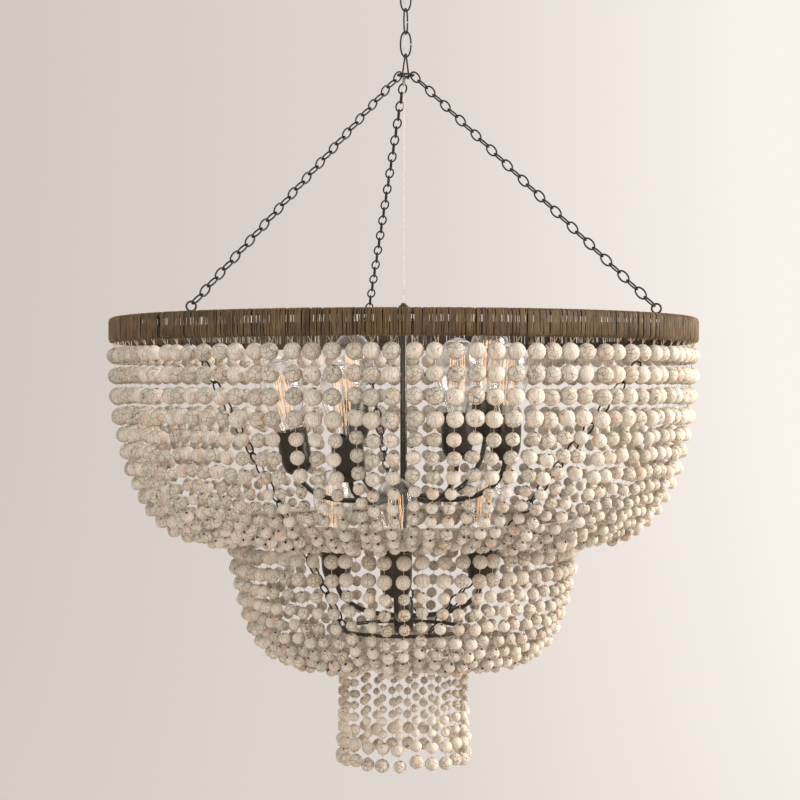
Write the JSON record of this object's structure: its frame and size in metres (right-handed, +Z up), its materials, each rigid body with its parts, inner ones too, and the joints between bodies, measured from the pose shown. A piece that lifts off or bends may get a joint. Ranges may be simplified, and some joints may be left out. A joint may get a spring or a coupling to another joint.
{
  "type": "beaded chandelier",
  "caption": "Tiered chandelier of wooden bead strands on hoops under a raffia-wrapped ring, with candle-like cups and clear bulbs on curved iron arms, hung by chains.",
  "frame": {"origin": "where a ceiling hook holds the top link, at the underside of the link's upper wire", "axes": "+Z up; the front looks towards -Y, +X is to the right seen from the front"},
  "size_m": [0.9212, 0.9248, 1.2121],
  "materials": {
    "chain_iron": "blackened iron, satin",
    "light_iron": "dark bronze-brown painted iron, satin",
    "galvanised_wire": "galvanised wire, dull",
    "raffia": "natural raffia strands, wound close",
    "whitewashed_beads": "whitewashed turned wood, matt, on cotton thread",
    "bulb_glass": "clear glass with a brass screw cap and coiled filaments",
    "clear_lead": "clear PVC over twin copper strands"
  },
  "bodies": {
    "link_1": {"suspension_link_1": "chain_iron", "lead_in_link_1": "clear_lead"},
    "link_2": {"suspension_link_2": "chain_iron", "lead_in_link_2": "clear_lead"},
    "link_3": {"suspension_link_3": "chain_iron", "lead_in_link_3": "clear_lead"},
    "hanger": {"hanger_loop": "chain_iron", "lead_in_hanger": "clear_lead"},
    "fixture": {"gathering_ring": "chain_iron", "sling_chain_1": "chain_iron", "sling_chain_2": "chain_iron", "sling_chain_3": "chain_iron", "ring_frame": "galvanised_wire", "raffia_wrap": "raffia", "spider": "light_iron", "stem": "light_iron", "knob": "light_iron", "upper_arms": "light_iron", "lower_arms": "light_iron", "upper_cup_1": "light_iron", "upper_cup_2": "light_iron", "upper_cup_3": "light_iron", "upper_cup_4": "light_iron", "upper_cup_5": "light_iron", "upper_cup_6": "light_iron", "lower_cup_1": "light_iron", "lower_cup_2": "light_iron", "lower_cup_3": "light_iron", "middle_ring_and_outer_strands": "whitewashed_beads", "lower_ring_and_inner_strands": "whitewashed_beads", "inner_chain_1": "chain_iron", "inner_chain_2": "chain_iron", "inner_chain_3": "chain_iron", "lead_to_knob": "clear_lead"},
    "upper_bulb_1": {"upper_bulb_1": "bulb_glass"},
    "upper_bulb_2": {"upper_bulb_2": "bulb_glass"},
    "upper_bulb_3": {"upper_bulb_3": "bulb_glass"},
    "upper_bulb_4": {"upper_bulb_4": "bulb_glass"},
    "upper_bulb_5": {"upper_bulb_5": "bulb_glass"},
    "upper_bulb_6": {"upper_bulb_6": "bulb_glass"},
    "lower_bulb_1": {"lower_bulb_1": "bulb_glass"},
    "lower_bulb_2": {"lower_bulb_2": "bulb_glass"},
    "lower_bulb_3": {"lower_bulb_3": "bulb_glass"},
    "fringe_strand_01": {"fringe_strand_01": "whitewashed_beads"},
    "fringe_strand_02": {"fringe_strand_02": "whitewashed_beads"},
    "fringe_strand_03": {"fringe_strand_03": "whitewashed_beads"},
    "fringe_strand_04": {"fringe_strand_04": "whitewashed_beads"},
    "fringe_strand_05": {"fringe_strand_05": "whitewashed_beads"},
    "fringe_strand_06": {"fringe_strand_06": "whitewashed_beads"},
    "fringe_strand_07": {"fringe_strand_07": "whitewashed_beads"},
    "fringe_strand_08": {"fringe_strand_08": "whitewashed_beads"},
    "fringe_strand_09": {"fringe_strand_09": "whitewashed_beads"},
    "fringe_strand_10": {"fringe_strand_10": "whitewashed_beads"},
    "fringe_strand_11": {"fringe_strand_11": "whitewashed_beads"},
    "fringe_strand_12": {"fringe_strand_12": "whitewashed_beads"}
  },
  "joints": [
    {"name": "link_2_swing", "type": "hinge", "parent": "link_1", "child": "link_2", "pos_m": [0, 0, -0.0378], "axis": [1, 0, 0], "range_deg": [-25, 25]},
    {"name": "link_3_swing", "type": "hinge", "parent": "link_2", "child": "link_3", "pos_m": [0, 0, -0.0734], "axis": [0.342, 0.9397, 0], "range_deg": [-25, 25]},
    {"name": "hanger_swing", "type": "hinge", "parent": "link_3", "child": "hanger", "pos_m": [0, 0, -0.109], "axis": [1, 0, 0], "range_deg": [-20, 20]},
    {"name": "fixture_swing", "type": "hinge", "parent": "hanger", "child": "fixture", "pos_m": [0, 0, -0.1406], "axis": [0.2798, 0.96, 0], "range_deg": [-10, 10]},
    {"name": "upper_bulb_1_slide", "type": "slide", "parent": "fixture", "child": "upper_bulb_1", "axis": [-0.1977, -0.0642, 0.9781], "range_m": [0, 0.028]},
    {"name": "upper_bulb_2_slide", "type": "slide", "parent": "fixture", "child": "upper_bulb_2", "axis": [-0.0896, -0.1685, 0.9816], "range_m": [0, 0.028]},
    {"name": "upper_bulb_3_slide", "type": "slide", "parent": "fixture", "child": "upper_bulb_3", "axis": [0.0082, -0.0154, 0.9998], "range_m": [0, 0.028]},
    {"name": "upper_bulb_4_slide", "type": "slide", "parent": "fixture", "child": "upper_bulb_4", "axis": [0.0321, -0.0136, 0.9994], "range_m": [0, 0.028]},
    {"name": "upper_bulb_5_slide", "type": "slide", "parent": "fixture", "child": "upper_bulb_5", "axis": [0.055, 0.0429, 0.9976], "range_m": [0, 0.028]},
    {"name": "upper_bulb_6_slide", "type": "slide", "parent": "fixture", "child": "upper_bulb_6", "axis": [-0.0409, 0.077, 0.9962], "range_m": [0, 0.028]},
    {"name": "lower_bulb_1_slide", "type": "slide", "parent": "fixture", "child": "lower_bulb_1", "axis": [-0.0429, 0.03, 0.9986], "range_m": [0, 0.028]},
    {"name": "lower_bulb_2_slide", "type": "slide", "parent": "fixture", "child": "lower_bulb_2", "axis": [-0.003, -0.0348, 0.9994], "range_m": [0, 0.028]},
    {"name": "lower_bulb_3_slide", "type": "slide", "parent": "fixture", "child": "lower_bulb_3", "axis": [0.0495, 0.017, 0.9986], "range_m": [0, 0.028]},
    {"name": "fringe_strand_01_swing", "type": "hinge", "parent": "fixture", "child": "fringe_strand_01", "pos_m": [0.09357, 0.02238, -1.001], "axis": [0.0523, -0.9986, 0], "range_deg": [-12, 15]},
    {"name": "fringe_strand_02_swing", "type": "hinge", "parent": "fixture", "child": "fringe_strand_02", "pos_m": [0.07805, 0.07013, -1.001], "axis": [0.5446, -0.8387, 0], "range_deg": [-12, 15]},
    {"name": "fringe_strand_03_swing", "type": "hinge", "parent": "fixture", "child": "fringe_strand_03", "pos_m": [0.04074, 0.10373, -1.001], "axis": [0.891, -0.454, 0], "range_deg": [-12, 15]},
    {"name": "fringe_strand_04_swing", "type": "hinge", "parent": "fixture", "child": "fringe_strand_04", "pos_m": [-0.00838, 0.11417, -1.001], "axis": [0.9986, 0.0523, 0], "range_deg": [-12, 15]},
    {"name": "fringe_strand_05_swing", "type": "hinge", "parent": "fixture", "child": "fringe_strand_05", "pos_m": [-0.05613, 0.09865, -1.001], "axis": [0.8387, 0.5446, 0], "range_deg": [-12, 15]},
    {"name": "fringe_strand_06_swing", "type": "hinge", "parent": "fixture", "child": "fringe_strand_06", "pos_m": [-0.08973, 0.06134, -1.001], "axis": [0.454, 0.891, 0], "range_deg": [-12, 15]},
    {"name": "fringe_strand_07_swing", "type": "hinge", "parent": "fixture", "child": "fringe_strand_07", "pos_m": [-0.10017, 0.01222, -1.001], "axis": [-0.0523, 0.9986, 0], "range_deg": [-12, 15]},
    {"name": "fringe_strand_08_swing", "type": "hinge", "parent": "fixture", "child": "fringe_strand_08", "pos_m": [-0.08465, -0.03553, -1.001], "axis": [-0.5446, 0.8387, 0], "range_deg": [-12, 15]},
    {"name": "fringe_strand_09_swing", "type": "hinge", "parent": "fixture", "child": "fringe_strand_09", "pos_m": [-0.04734, -0.06913, -1.001], "axis": [-0.891, 0.454, 0], "range_deg": [-12, 15]},
    {"name": "fringe_strand_10_swing", "type": "hinge", "parent": "fixture", "child": "fringe_strand_10", "pos_m": [0.00178, -0.07957, -1.001], "axis": [-0.9986, -0.0523, 0], "range_deg": [-12, 15]},
    {"name": "fringe_strand_11_swing", "type": "hinge", "parent": "fixture", "child": "fringe_strand_11", "pos_m": [0.04953, -0.06405, -1.001], "axis": [-0.8387, -0.5446, 0], "range_deg": [-12, 15]},
    {"name": "fringe_strand_12_swing", "type": "hinge", "parent": "fixture", "child": "fringe_strand_12", "pos_m": [0.08313, -0.02674, -1.001], "axis": [-0.454, -0.891, 0], "range_deg": [-12, 15]}
  ]
}
